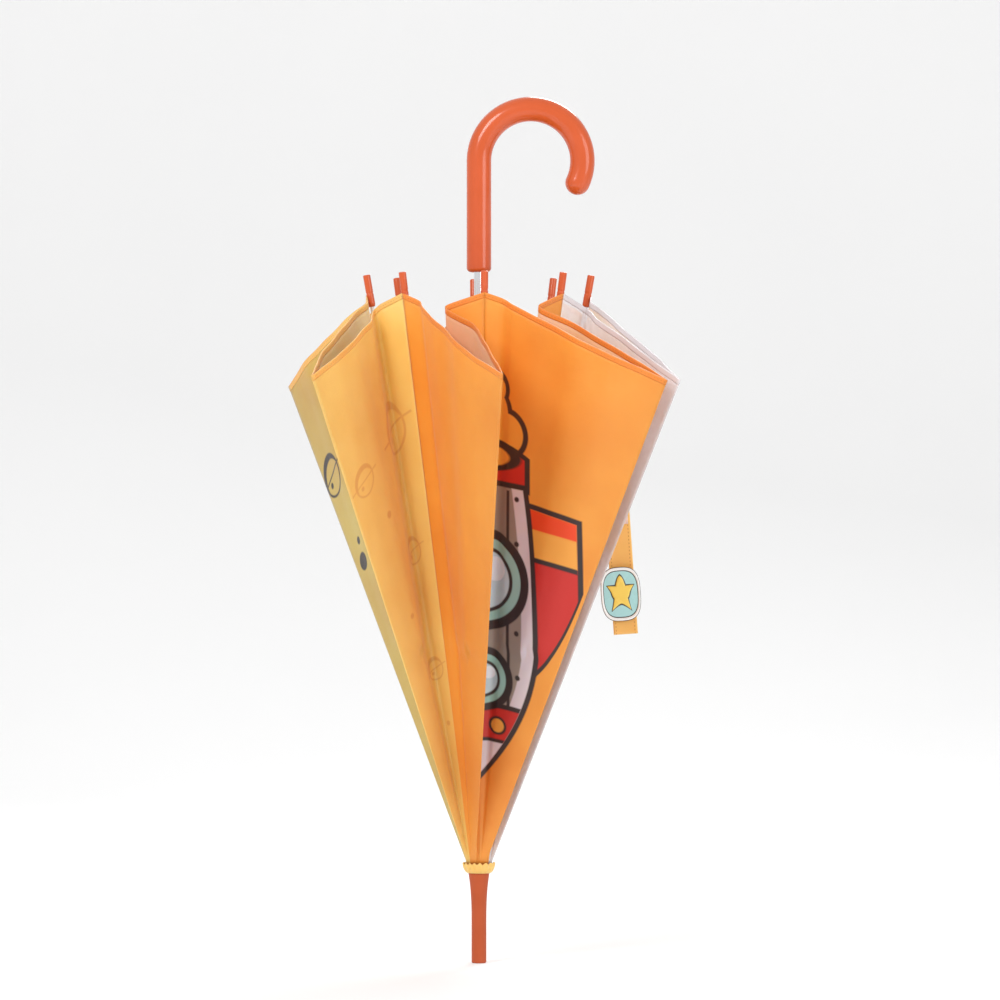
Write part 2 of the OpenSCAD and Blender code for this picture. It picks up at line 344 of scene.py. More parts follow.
class Nodes:
    """Writes a material's nodes as sums: each call makes a node and gives back its output."""

    def __init__(self, name):
        self.material = bpy.data.materials.new(name)
        self.material.use_nodes = True
        self.tree = self.material.node_tree
        self.shader = next(n for n in self.tree.nodes if n.type == "BSDF_PRINCIPLED")

    def add(self, kind, **settings):
        node = self.tree.nodes.new(kind)
        for key, value in settings.items():
            setattr(node, key, value)
        return node

    def put(self, socket, value):
        if isinstance(value, bpy.types.NodeSocket):
            self.tree.links.new(value, socket)
        else:
            socket.default_value = value

    def math(self, operation, a, b=0.0, c=0.0, clamp=False):
        node = self.add("ShaderNodeMath", operation=operation, use_clamp=clamp)
        for socket, value in zip(node.inputs, (a, b, c)):
            self.put(socket, value)
        return node.outputs[0]

    def plus(self, a, b):
        return self.math("ADD", a, b)

    def sub(self, a, b):
        return self.math("SUBTRACT", a, b)

    def times(self, a, b):
        return self.math("MULTIPLY", a, b)

    def absolute(self, a):
        return self.math("ABSOLUTE", a)

    def least(self, first, *others):
        for other in others:
            first = self.math("MINIMUM", first, other)
        return first

    def most(self, first, *others):
        for other in others:
            first = self.math("MAXIMUM", first, other)
        return first

    def mix(self, share, a, b):
        """Colour a where share is 0 and b where it is 1."""
        node = self.add("ShaderNodeMix", data_type="RGBA")
        self.put(node.inputs["Factor"], share)
        self.put(node.inputs[6], a)
        self.put(node.inputs[7], b)
        return node.outputs[2]

    def noise(self, scale, detail=3.0, vector=None, roughness=0.5):
        node = self.add("ShaderNodeTexNoise")
        node.inputs["Scale"].default_value = scale
        node.inputs["Detail"].default_value = detail
        node.inputs["Roughness"].default_value = roughness
        self.put(node.inputs["Vector"], vector or self.place())
        return node.outputs["Fac"]

    def place(self):
        return self.add("ShaderNodeTexCoord").outputs["Object"]

    def flat(self):
        """U, across the cloth from the printed seam, and V, away from the crown, in metres."""
        parts = self.add("ShaderNodeSeparateXYZ")
        self.put(parts.inputs[0], self.add("ShaderNodeUVMap", uv_map="flat").outputs[0])
        return parts.outputs[0], parts.outputs[1]

    def ramp(self, value, low, high):
        """value from low to high, made 0 to 1."""
        node = self.add("ShaderNodeMapRange")
        for key, number in (("From Min", low), ("From Max", high)):
            node.inputs[key].default_value = number
        self.put(node.inputs["Value"], value)
        return node.outputs[0]

    def bump(self, height, strength, distance, normal=None):
        node = self.add("ShaderNodeBump")
        node.inputs["Strength"].default_value = strength
        node.inputs["Distance"].default_value = distance
        self.put(node.inputs["Height"], height)
        if normal is not None:
            self.put(node.inputs["Normal"], normal)
        return node.outputs[0]

    def set(self, **values):
        names = {"colour": "Base Color", "roughness": "Roughness", "metal": "Metallic",
                 "coat": "Coat Weight", "coat_roughness": "Coat Roughness",
                 "sheen": "Sheen Weight", "sheen_roughness": "Sheen Roughness",
                 "alpha": "Alpha", "normal": "Normal", "transmission": "Transmission Weight",
                 "subsurface": "Subsurface Weight", "specular": "Specular IOR Level",
                 "subsurface_scale": "Subsurface Scale", "ior": "IOR"}
        for key, value in values.items():
            self.put(self.shader.inputs[names[key]], value)
        return self.material

    # Distances to flat shapes, below 0 inside
    def disc(self, u, v, cu, cv, r):
        du, dv = self.sub(u, cu), self.sub(v, cv)
        length = self.math("SQRT", self.plus(self.times(du, du),
                                             self.times(dv, dv)))
        return self.sub(length, r)

    def slab(self, u, v, cu, cv, half_u, half_v):
        du = self.sub(self.absolute(self.sub(u, cu)), half_u)
        dv = self.sub(self.absolute(self.sub(v, cv)), half_v)
        return self.most(du, dv)

    def inside(self, distance, edge=0.0006):
        """1 inside a shape and 0 outside it, with a soft edge."""
        return self.ramp(distance, edge, -edge)


def rgb(colour):
    return (*colour[:3], 1.0)


def plastic(name, colour, roughness, coat, grain=900.0, depth=0.00003, wear=0.08):
    """Moulded plastic: a fine skin texture, faint flow marks and slightly paler worn spots."""
    n = Nodes(name)
    flow = n.noise(14.0, 4.0)
    pale = tuple(min(1.0, c * (1 + 2 * wear) + 0.02) for c in colour[:3])
    shade = n.mix(n.ramp(flow, 0.35, 0.75), rgb(colour), rgb(pale))
    rough = n.plus(n.times(n.noise(60.0, 5.0), 0.10), roughness - 0.05)
    skin = n.bump(n.noise(grain, 2.0), 0.35, depth)
    return n.set(colour=shade, roughness=rough, coat=coat, coat_roughness=0.06, specular=0.28,
                 normal=skin)


def metal(name, colour, roughness, drawn=0.3):
    """Plated metal with fine lengthwise drawing marks."""
    n = Nodes(name)
    stretch = n.add("ShaderNodeMapping")
    n.put(stretch.inputs["Vector"], n.place())
    stretch.inputs["Scale"].default_value = (1, 1, 0.03)
    marks = n.noise(2600.0, 3.0, stretch.outputs[0])
    rough = n.plus(n.times(marks, 0.14), roughness - 0.05)
    tint = n.mix(marks, rgb([c * 0.9 for c in colour]), rgb(colour))
    return n.set(colour=tint, metal=1.0, roughness=rough, normal=n.bump(marks, drawn, 0.00001))


def cloth_shader(n, colour):
    """Satin nylon on n: threads both ways, soft cloudy shade, and the finish of the weave."""
    u, v = n.flat()
    thread = 2 * math.pi / 0.00045
    warp = n.math("SINE", n.times(u, thread))
    weft = n.math("SINE", n.times(v, thread))
    weave = n.times(warp, weft)
    cloud = n.noise(9.0, 4.0)
    streak = n.noise(55.0, 3.0)
    dark = tuple(c * k for c, k in zip(colour[:3], (0.90, 0.80, 0.72)))
    pale = tuple(min(1.0, c * k) for c, k in zip(colour[:3], (1.03, 1.14, 1.32)))
    shade = n.mix(n.ramp(cloud, 0.32, 0.68), rgb(dark), rgb(pale))
    shade = n.mix(n.times(n.ramp(streak, 0.4, 0.7), 0.16), shade, rgb(colour))
    pucker = n.bump(n.noise(38.0, 5.0), 0.22, 0.004)
    normal = n.bump(weave, 0.3, 0.00006, pucker)
    n.set(roughness=0.46, sheen=0.16, sheen_roughness=0.4, normal=normal,
          subsurface=0.25, subsurface_scale=0.004)
    n.shader.inputs["Subsurface Radius"].default_value = (1.0, 0.5, 0.2)
    return u, v, shade


def paint(n, shade, layers):
    """Shapes laid over a shade, in order: each is (distance below 0 inside, colour)."""
    for distance, colour in layers:
        shade = n.mix(n.inside(distance), shade, colour)
    return shade


def printed_rocket(n, u, v, shade):
    """A plain rocket, nose to the crown.

    u is metres from the printed seam and v is metres from the crown, as are all the numbers
    below. The shapes in side = |u| are mirrored about the seam."""
    red, flame = (0.60, 0.022, 0.016, 1), (0.88, 0.060, 0.010, 1)
    grey, pale, mint = (0.315, 0.245, 0.205, 1), (0.74, 0.60, 0.61, 1), (0.34, 0.56, 0.48, 1)
    orange, glass, white = (0.92, 0.36, 0.055, 1), (0.60, 0.70, 0.72, 1), (0.92, 0.90, 0.90, 1)
    side = n.absolute(u)

    def nearer(limit, shape):
        """The part of a shape nearer the crown than limit."""
        return n.most(shape, n.sub(v, limit))

    def inked(shape, colour, line=0.0046):
        """A shape with a dark outline of width line."""
        return (n.sub(shape, line), INK), (shape, colour)

    def porthole(at, radius, line, rim, pane, glint):
        """A ring with a dark line inside it at rim, glass inside that at pane, and a glint."""
        ring = n.disc(u, v, 0.0, at, radius)
        return (*inked(ring, mint, line), (n.sub(ring, -rim), INK), (n.sub(ring, -pane), glass),
                (n.disc(u, v, *glint), white))

    # Hull: half = wide * (1 - t ** 2), with t from its widest place on the scale of each end
    wide, wide_at, nose, tail = 0.045, 0.197, 0.117, 0.26
    t = n.most(n.math("DIVIDE", n.sub(wide_at, v), nose),
               n.math("DIVIDE", n.sub(v, wide_at), tail))
    half = n.times(n.sub(1.0, n.times(t, t)), wide)
    hull = nearer(0.314, n.sub(side, half))
    lit = n.most(hull, n.sub(n.sub(half, 0.010), side))
    seam = n.most(n.plus(hull, 0.002), n.slab(side, v, 0.0225, 0.21, 0.0013, 0.11))
    # Rivets down the outer side of the seam
    row = n.sub(n.math("MODULO", v, 0.036), 0.018)
    rivet = n.most(n.disc(side, row, 0.0305, 0.0, 0.0021), n.plus(hull, 0.004),
                   n.sub(0.14, v))
    # Fin: a straight outer edge, a level top and a lower edge that curves in to the hull
    out = n.sub(side, 0.042)
    low = n.plus(0.168, n.times(out, n.plus(0.9, n.times(out, 20.0))))
    fin = n.most(n.sub(side, 0.083), n.sub(v, n.sub(0.303, n.times(side, 0.06))),
                 n.sub(low, v))
    # Collar, mouth and puffs of smoke
    level = n.plus(v, n.times(n.times(side, side), 7.0))
    collar = n.most(n.sub(level, 0.348), n.sub(0.316, v), n.sub(side, 0.0375))
    mouth = n.sub(n.disc(n.times(side, 0.36), v, 0.0, 0.338, 0.0), 0.0085)
    smoke = n.least(n.disc(side, v, 0.019, 0.357, 0.017), n.disc(side, v, 0.0, 0.372, 0.022),
                    n.disc(side, v, 0.008, 0.392, 0.011))
    return paint(n, shade, [
        *inked(fin, red), (n.most(fin, n.sub(0.259, v)), INK),
        (n.most(fin, n.sub(0.263, v)), orange), (n.most(fin, n.sub(0.285, v)), flame),
        *inked(smoke, orange), (n.disc(side, v, 0.0, 0.366, 0.010), red),
        *inked(collar, red), *inked(mouth, orange, 0.004),
        *inked(hull, grey), (lit, pale), (seam, INK), (rivet, INK),
        (nearer(0.138, hull), INK), (nearer(0.134, hull), red),
        *inked(n.disc(side, v, 0.0135, 0.120, 0.0055), orange, 0.002),
        (nearer(0.109, hull), INK), (nearer(0.106, hull), pale),
        *porthole(0.238, 0.034, 0.0075, 0.007, 0.010, (0.010, 0.247, 0.010)),
        *porthole(0.157, 0.0205, 0.0060, 0.005, 0.0075, (0.006, 0.162, 0.005)),
    ])


def ringed_planet(n, u, v, cu, cv, r):
    """The outline of a planet with a thick shaded side, a small crater and a tilted ring."""
    ball = n.disc(u, v, cu, cv, r)
    rim = n.sub(n.absolute(ball), 0.06 * r)
    shade = n.most(ball, n.sub(0.93 * r, n.disc(u, v, cu + 0.16 * r, cv - 0.20 * r, 0.0)))
    crater = n.disc(u, v, cu - 0.25 * r, cv - 0.45 * r, 0.15 * r)
    tilted = n.sub(v, n.plus(cv, n.times(n.sub(u, cu), 0.45)))
    ring = n.most(n.sub(n.absolute(tilted), 0.05 * r),
                  n.disc(u, v, cu, cv, 1.55 * r))
    return n.least(rim, shade, crater, ring)


def printed_sky(n, u, v, shade, colour):
    """Faint ringed planets and dots, in a tone near the cloth's own."""
    tone = tuple(c * k for c, k in zip(colour[:3], (0.72, 0.50, 0.56))) + (1,)
    marks = [ringed_planet(n, u, v, *place) for place in (
        (-0.034, 0.362, 0.0205), (-0.024, 0.262, 0.011), (-0.014, 0.165, 0.009),
        (-0.100, 0.335, 0.012), (0.055, 0.330, 0.015), (0.034, 0.235, 0.010))]
    marks += [n.disc(u, v, cu, cv, r) for cu, cv, r in (
        (-0.070, 0.300, 0.003), (-0.050, 0.215, 0.0022), (0.080, 0.385, 0.003),
        (0.050, 0.280, 0.0022), (-0.006, 0.120, 0.002))]
    return n.mix(n.times(n.inside(n.least(*marks), 0.0006), 0.62), shade, tone)


def printed_planet(n, u, v, shade):
    """One dark ringed planet with two moons."""
    marks = n.least(ringed_planet(n, u, v, -0.108, 0.345, 0.0165),
                    n.disc(u, v, -0.083, 0.285, 0.0032), n.disc(u, v, -0.082, 0.268, 0.0072))
    return n.mix(n.inside(marks, 0.0006), shade, INK)


def canopy_cloth(name, colour, motif):
    """The outer face of a panel's cloth, with its print."""
    n = Nodes(name)
    u, v, shade = cloth_shader(n, colour)
    if motif == "rocket":
        shade = printed_rocket(n, u, v, shade)
    elif motif == "sky":
        shade = printed_sky(n, u, v, shade, colour)
    elif motif == "planet":
        shade = printed_planet(n, u, v, shade)
    return n.set(colour=shade)


def lit_lining(name, colour):
    """The inner face of the cloth, paler and duller than the outer face: painted light, standing in for the light
    that shines through the thin cloth.
    """
    n = Nodes(name)
    return n.set(colour=cloth_shader(n, colour)[2])


def hem_cloth(name, colour):
    """The folded hem: the cloth's own colour doubled, with a row of stitches."""
    n = Nodes(name)
    u, v, shade = cloth_shader(n, tuple(c * k for c, k in zip(colour, (0.96, 0.86, 0.8))))
    stitch = n.math("SINE", n.times(u, 2 * math.pi / 0.0028))
    row = n.inside(n.sub(n.absolute(n.sub(v, 0.5)), 0.06), 0.02)
    mark = n.times(row, n.ramp(stitch, -0.2, 0.4))
    return n.set(colour=n.mix(mark, shade, rgb([c * 0.7 for c in colour])))


def clear_film(name, colour):
    """Soft clear film: cloudy where it is creased, with a glossy, slightly rippled face."""
    n = Nodes(name)
    haze = n.ramp(n.noise(22.0, 4.0), 0.3, 0.75)
    ripple = n.bump(n.noise(30.0, 3.0), 0.5, 0.006)
    alpha = n.plus(n.times(haze, 0.25), 0.34)
    return n.set(colour=n.mix(haze, rgb(colour), (0.98, 0.95, 0.96, 1)), roughness=0.12,
                 coat=0.8, coat_roughness=0.05, alpha=alpha, normal=ripple, ior=1.5)


def film_hem(name, colour):
    """The film's turned and welded edge: cloudier than the film, with a row of weld marks."""
    n = Nodes(name)
    u, v = n.flat()
    weld = n.ramp(n.math("SINE", n.times(u, 2 * math.pi / 0.0016)), -0.4, 0.4)
    shade = n.mix(n.times(weld, 0.25), rgb(colour), (0.97, 0.95, 0.96, 1))
    return n.set(colour=shade, roughness=0.2, coat=0.6, coat_roughness=0.08, alpha=0.8,
                 normal=n.bump(weld, 0.3, 0.0001))


# ---------------------------------------------------------------- sizes and colours

def length_property(name, description, value):
    return bpy.props.FloatProperty(name=name, description=description, default=value,
                                   unit="LENGTH")


class UmbrellaSizes(bpy.types.PropertyGroup):
    """Sizes of the soft parts and the trim, in metres."""

    cloth_off: length_property("Cloth off rib",
                               "How far the cloth runs outside a rib's centre line", 0.003)
    hem_at_rib: length_property("Hem at rib",
                                "From the crown to the hem along a rib", RIB_END - 0.017)
    hem_at_middle: length_property("Hem at middle",
                                   "From the crown to the hem down a panel's middle",
                                   RIB_END - 0.046)
    fold_lead: length_property("Fold lead",
                               "How far before its fold line a panel starts to bend", 0.002)
    fold_width: length_property("Fold width", "Width over which a folded panel bends", 0.013)
    cloth_thick: length_property("Cloth thickness", "Thickness of the canopy's cloth", 0.00035)
    hem_width: length_property("Hem width", "Width of the folded hem", 0.0045)
    belly: length_property("Belly", "How far each half panel bulges at its hem", 0.009)
    wave: length_property("Wave", "Height of the soft ripples in the cloth", 0.0016)
    handle_edge: length_property("Handle edge", "Rounding of the handle's lower end", 0.0035)
    ferrule_edge: length_property("Ferrule edge", "Rounding of the ferrule's tip", 0.0012)
    hook_sweep: bpy.props.FloatProperty(
        name="Hook sweep", description="How far the hook curls round",
        default=math.radians(205), subtype="ANGLE")
    strap_clear: length_property("Strap clearance",
                                 "How far the strap hangs off its panel", 0.0045)
    strap_thick: length_property("Strap thickness", "Thickness of the closing strap", 0.0012)


def colour_property(name, description, value):
    return bpy.props.FloatVectorProperty(name=name, description=description, size=3,
                                         subtype="COLOR", min=0, max=1, default=value)


class UmbrellaColours(bpy.types.PropertyGroup):
    """The main colours."""

    plastic: colour_property("Plastic", "Handle and tips", (0.56, 0.082, 0.012))
    ferrule: colour_property("Ferrule", "The ferrule's dull plastic", (0.41, 0.068, 0.014))
    orange: colour_property("Orange cloth", "The orange panels", (0.88, 0.290, 0.036))
    # Inner faces: the cloth's colours painted paler, as painted light that shines through the thin cloth.
    orange_inside: colour_property("Orange inside", "Inner face of the orange panels",
                                   (0.90, 0.500, 0.300))
    yellow: colour_property("Yellow cloth", "The yellow panels", (0.93, 0.560, 0.150))
    yellow_inside: colour_property("Yellow inside", "Inner face of the yellow panels",
                                   (0.86, 0.600, 0.320))
    # Painted shade: the yellow cloth made darker and duller for the one yellow panel that falls in shadow.
    olive: colour_property("Olive cloth", "The duller yellow panel", (0.60, 0.385, 0.085))
    film: colour_property("Window", "The clear panel", (0.86, 0.80, 0.82))


def settings():
    return bpy.context.scene.umbrella_sizes, bpy.context.scene.umbrella_colours


MADE = {}


def material(name, make, *values, **more):
    """The material of that name, made the first time it is asked for."""
    if name not in MADE:
        MADE[name] = make(name, *values, **more)
    return MADE[name]


def dress(obj, *finishes):
    """Gives a piece its finishes in place of any it has."""
    obj.data.materials.clear()
    for finish in finishes:
        obj.data.materials.append(finish)
    return obj


# ---------------------------------------------------------------- canopy

def shape_lift(half, s, rho, sizes):
    """How far the cloth stands off the flat panel: one broad belly, two long soft ripples and
    short pleats that die out away from the crown. All are 0 at the rib and at the crease."""
    edge = np.sin(math.pi * np.clip(s, 0, 1))
    reach = rho / half.hem_rib
    phase = 1.7 * half.gore + (0.9 if half.side > 0 else 2.3)
    tautness = 0.3 if half.gore == FILM_GORE else 1
    belly = tautness * sizes.belly * reach ** 1.3 * edge
    long_ = np.sin(2 * math.pi * (1.6 * s + 0.25 * np.sin(3.1 * reach + phase)) + phase)
    fine = np.sin(2 * math.pi * (4.2 * s + 0.3 * reach) + 2 * phase)
    pleat_height, pleat_fade = 0.0011, 0.09
    pleat = np.sin(2 * math.pi * 3.5 * s + phase) * np.exp(-rho / pleat_fade)
    soft = sizes.wave * edge * reach * (long_ + 0.35 * fine * reach)
    return belly + soft + pleat_height * edge * pleat


def cloth_uv(half, s, rho):
    """Flat-pattern coordinates: across from the half's own rib, and away from the crown.

    On the two halves beside the printed seam, across is signed to each side of it."""
    across = rho * np.sin(half.span * s) * half.side
    return np.stack([across, rho * np.cos(half.span * s * 0.5)], -1).reshape(-1, 2)


def cloth_finish(half, colours):
    """The outer finish, the inner finish, the hem's finish and the record's slot of a half."""
    if half.gore == FILM_GORE:
        film = material("window_film", clear_film, tuple(colours.film))
        return film, film, material("film_hem", film_hem, tuple(colours.film)), "window_film"
    dye = "yellow" if half.gore in YELLOW_GORES else "orange"
    face, shade, motif = dye, dye, "sky" if dye == "yellow" else "plain"
    if half.number == PRINT_RIB:
        face, shade, motif = "rocket", "orange", "rocket"
    # Painted shade: the yellow panel in shadow takes the darker copy of the yellow cloth on its outer face, with
    # the planet print.
    elif half.gore == SHADED_YELLOW_GORE:
        face, shade, motif = "olive", "olive", "planet"
    return (material(f"cloth_{face}", canopy_cloth, tuple(getattr(colours, shade)), motif),
            # The inner finish has the painted-paler colour: painted light coming through the cloth.
            material(f"lining_{dye}", lit_lining, tuple(getattr(colours, f"{dye}_inside"))),
            material(f"hem_{dye}", hem_cloth, tuple(getattr(colours, dye))), f"canopy_{dye}")


def flat_area(s, rho, half):
    """Area of the flat pattern: half the angle times the squared reach, summed along s."""
    wedge = (half.hem(s) ** 2 - rho ** 2) / 2
    return float(((wedge[1:] + wedge[:-1]) / 2 * np.diff(s)).sum() * half.span)


def make_half(gore, letter, sizes, colours):
    """One half panel and its hem, blended between the rib and the panel's body."""
    half = Half(gore, letter, sizes)
    columns, rows = 46, 64
    s = np.linspace(0, 1, columns) ** 1.15
    start = 0.0015
    t = np.linspace(0, 1, rows)[:, None]
    grid_s = np.broadcast_to(s, (rows, columns)).copy()
    rho = start + (half.hem(s) - start) * t
    points = half.surface(grid_s, rho, shape_lift(half, grid_s, rho, sizes))
    cloth = new_object(f"canopy_{half.name}", points,
                       grid_faces(rows, columns, flip=half.side < 0),
                       cloth_uv(half, grid_s, rho))
    outer, inner, edging, slot = cloth_finish(half, colours)
    dress(cloth, outer, inner)
    thicken(cloth, sizes.cloth_thick, lined=1)

    hem_rows = 5
    depth = np.linspace(0, 1, hem_rows)[:, None]
    hem_s = np.broadcast_to(s, (hem_rows, columns)).copy()
    hem_rho = half.hem(s) - sizes.hem_width * (1 - depth) + 0.0004
    hem_points = half.surface(hem_s, hem_rho, shape_lift(half, hem_s, hem_rho, sizes))
    run = np.broadcast_to(half.hem(s) * half.span * s, hem_s.shape)
    hem_uv = np.stack([run, np.broadcast_to(depth, hem_s.shape)], -1).reshape(-1, 2)
    hem = new_object(f"hem_{half.name}", hem_points,
                     grid_faces(hem_rows, columns, flip=half.side < 0), hem_uv)
    dress(thicken(hem, 2.6 * sizes.cloth_thick), edging)

    for piece in (cloth, hem):
        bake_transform(piece)
    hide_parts(half.body)
    area = flat_area(s, start, half)


# ---------------------------------------------------------------- operators

class UMBRELLA_OT_canopy(bpy.types.Operator):
    """Make the sixteen half panels and their hems"""

    bl_idname = "umbrella.canopy"
    bl_label = "Canopy"

    def execute(self, context):
        sizes, colours = settings()
        for gore in range(1, RIBS + 1):
            for letter in "ab":
                make_half(gore, letter, sizes, colours)
        return {"FINISHED"}


class UMBRELLA_OT_handle(bpy.types.Operator):
    """Make the crook handle as one swept tube"""

    bl_idname = "umbrella.handle"
    bl_label = "Handle"

    def execute(self, context):
        sizes, colours = settings()
        straight_steps, hook_steps = 22, 90
        low, high = (np.array(c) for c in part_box("handle"))
        r = float(high[1])
        hook = (float(high[0]) - r) / 2
        bend_z = float(high[2]) - r - hook
        edge = sizes.handle_edge
        # Lower end: a quarter-round edge, then the straight stretch
        a = np.linspace(0, math.pi / 2, 9)
        straight_z = np.concatenate([[low[2]], low[2] + edge * (1 - np.cos(a)),
                                     np.linspace(low[2] + 1.5 * edge, bend_z,
                                                 straight_steps)[:-1]])
        straight_r = np.concatenate([[0], r - edge + edge * np.sin(a),
                                     np.full(straight_steps - 1, r)])
        line = [np.stack([0 * straight_z, 0 * straight_z, straight_z], 1)]
        # The hook turns about its centre, and ends in a half ball
        b = np.linspace(0, sizes.hook_sweep, hook_steps)
        line.append(np.stack([hook - hook * np.cos(b), 0 * b, bend_z + hook * np.sin(b)], 1))
        end = line[-1][-1]
        ahead = np.array([math.sin(b[-1]), 0, math.cos(b[-1])])
        c = np.linspace(0, math.pi / 2, 14)[1:]
        line.append(end + r * np.sin(c)[:, None] * ahead)
        radius = np.concatenate([straight_r, np.full(hook_steps, r), r * np.cos(c)])
        radius[-1] = 0
        handle = tube("handle_crook", np.concatenate(line), radius, 64)
        outwards(handle)
        dress(handle, material("handle_gloss", plastic, tuple(colours.plastic), 0.22, 0.45))
        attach(handle, "frame")
        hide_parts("handle")
        return {"FINISHED"}


class UMBRELLA_OT_ferrule(bpy.types.Operator):
    """Make the ferrule with its flare and rounded tip"""

    bl_idname = "umbrella.ferrule"
    bl_label = "Ferrule"

    def execute(self, context):
        sizes, colours = settings()
        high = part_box("ferrule")[1]
        top, r_top = float(high[2]), float(high[0])
        r_tip, edge, straight = 0.006, sizes.ferrule_edge, 0.435 * top
        # Rounded tip, straight stretch, then the flare r_tip + (r_top - r_tip) * t ** 2.6
        a = np.linspace(0, math.pi / 2, 8)
        t = np.linspace(0, 1, 24)[1:]
        radii = np.concatenate([[0], r_tip - edge + edge * np.sin(a),
                                r_tip + (r_top - r_tip) * t ** 2.6, [r_top - 0.0005, 0]])
        heights = np.concatenate([[0], edge - edge * np.cos(a),
                                  straight + (top - 0.0004 - straight) * t, [top, top]])
        ferrule = lathe("ferrule_shell", radii, heights, np.zeros(3), (0, 0, 1), 64)
        dress(outwards(ferrule), material("ferrule_matte", plastic, tuple(colours.ferrule), 0.52,
                                          0.0, grain=1500.0, depth=0.00006, wear=0.12))
        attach(ferrule, "frame")
        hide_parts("ferrule")
        return {"FINISHED"}


class UMBRELLA_OT_tips(bpy.types.Operator):
    """Make the eight moulded rib tips"""

    bl_idname = "umbrella.tips"
    bl_label = "Rib tips"

    def execute(self, context):
        colours = settings()[1]
        finish = material("tip_gloss", plastic, tuple(colours.plastic), 0.28, 0.35)
        # The outline: share of the full radius, then how far short of the end in tip lengths
        r, slight = 0.003, 0.0002
        corners = [(share * r, RIB_END - back * TIP_LENGTH) for share, back in (
            (0, 1), (0.8, 1), (1, 0.93), (1, 0.62), (0.93, 0.60), (0.93, 0.56), (1, 0.54),
            (1, 0), (0, 0))]
        outline = rounded(corners, [0.0003, 0.0008, slight, slight, slight, slight, 0.0009])
        for number, rib in RIB.items():
            tip = lathe(f"rib_tip_{number}", outline[:, 0], outline[:, 1], rib.pivot, rib.ray, 32)
            dress(outwards(tip), finish)
            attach(tip, rib.body)
            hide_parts(f"tip_{number}")
        return {"FINISHED"}


class UMBRELLA_OT_rosette(bpy.types.Operator):
    """Make the gathered cloth washer under the canopy"""

    bl_idname = "umbrella.rosette"
    bl_label = "Rosette"

    def execute(self, context):
        colours = settings()[1]
        low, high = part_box("rosette")
        z = float(low[2])
        inner, outer = 0.0087, float(high[0])
        rows, columns = 12, 288
        a = np.linspace(0, 2 * math.pi, columns, endpoint=False)
        t = np.linspace(0, 1, rows)[:, None]
        # A shallow cup: out and then up, with gathers that grow towards its free edge
        gather = 17 * a + 0.7 * np.sin(3 * a)
        ruffle = np.sin(gather) + 0.3 * np.sin(31 * a + 1.0)
        radius = inner + (outer - inner) * np.sin(0.5 * math.pi * t) + 0.0004 * t * ruffle
        height = z - 0.0006 + 0.0078 * t ** 1.6 + 0.0007 * t * np.cos(gather)
        points = np.stack([radius * np.cos(a), radius * np.sin(a), height + 0 * radius], -1)
        run = np.broadcast_to(a * outer, radius.shape)
        uv = np.stack([run, radius], -1).reshape(-1, 2)
        washer = new_object("rosette_frill", points,
                            grid_faces(rows, columns, close_columns=True), uv)
        thicken(washer, 0.0007)
        dress(washer, material("frill_cloth", canopy_cloth, tuple(colours.yellow), "plain"))
        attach(washer, "frame")
        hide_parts("rosette")
        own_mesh(washer)
        return {"FINISHED"}


def star_reach(a):
    """Reach of the star at the bearing a, off = the turn from a to its nearest outer point:
    STAR_OUT * STAR_Y / (STAR_Y * cos(off) + (STAR_OUT - STAR_X) * sin(off)), which is the
    straight line from that point to the inner corner at (STAR_X, STAR_Y)."""
    off = np.mod(a - math.pi / 2 + 4 * STAR_STEP, STAR_STEP)
    off = np.minimum(off, STAR_STEP - off)
    return STAR_OUT * STAR_Y / (STAR_Y * np.cos(off) + (STAR_OUT - STAR_X) * np.sin(off))


def strap_frame():
    """The strap's top, its way down, its way across, the way it faces, and how far and which
    way it hangs off its panel."""
    swing = JOINTS["strap_swing"]
    top = np.array(swing["pos_m"], float)
    low, high = (np.array(c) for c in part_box("strap"))
    foot_x = float(low[0] + high[0]) - float(top[0])
    down = unit(np.array([foot_x - top[0], 0, low[2] - top[2]]))
    across = np.array([-down[2], 0, down[0]])
    off = unit(np.cross([0, 0, 1], [top[0], top[1], 0])) * settings()[0].strap_clear
    return top, down, across, np.array([0, -1.0, 0]), off


def strap_points(x, t, half_width, length, lift=0.0):
    """The strap's surface, x from -1 to 1 across it and t from 0 to 1 down it:
    top + down * length * t + across * x * half_width + face * belly + off * smooth(t / 0.15),
    with belly = 0.0016 * sin(2.2 * pi * t) + 0.0005 * x ** 2 + lift."""
    top, down, across, face, off = strap_frame()
    belly = 0.0016 * np.sin(2.2 * math.pi * t) + 0.0005 * x ** 2 + lift
    return (top + down * (length * t)[..., None] + across * (x * half_width)[..., None]
            + face * belly[..., None] + off * smooth(t / 0.15)[..., None])


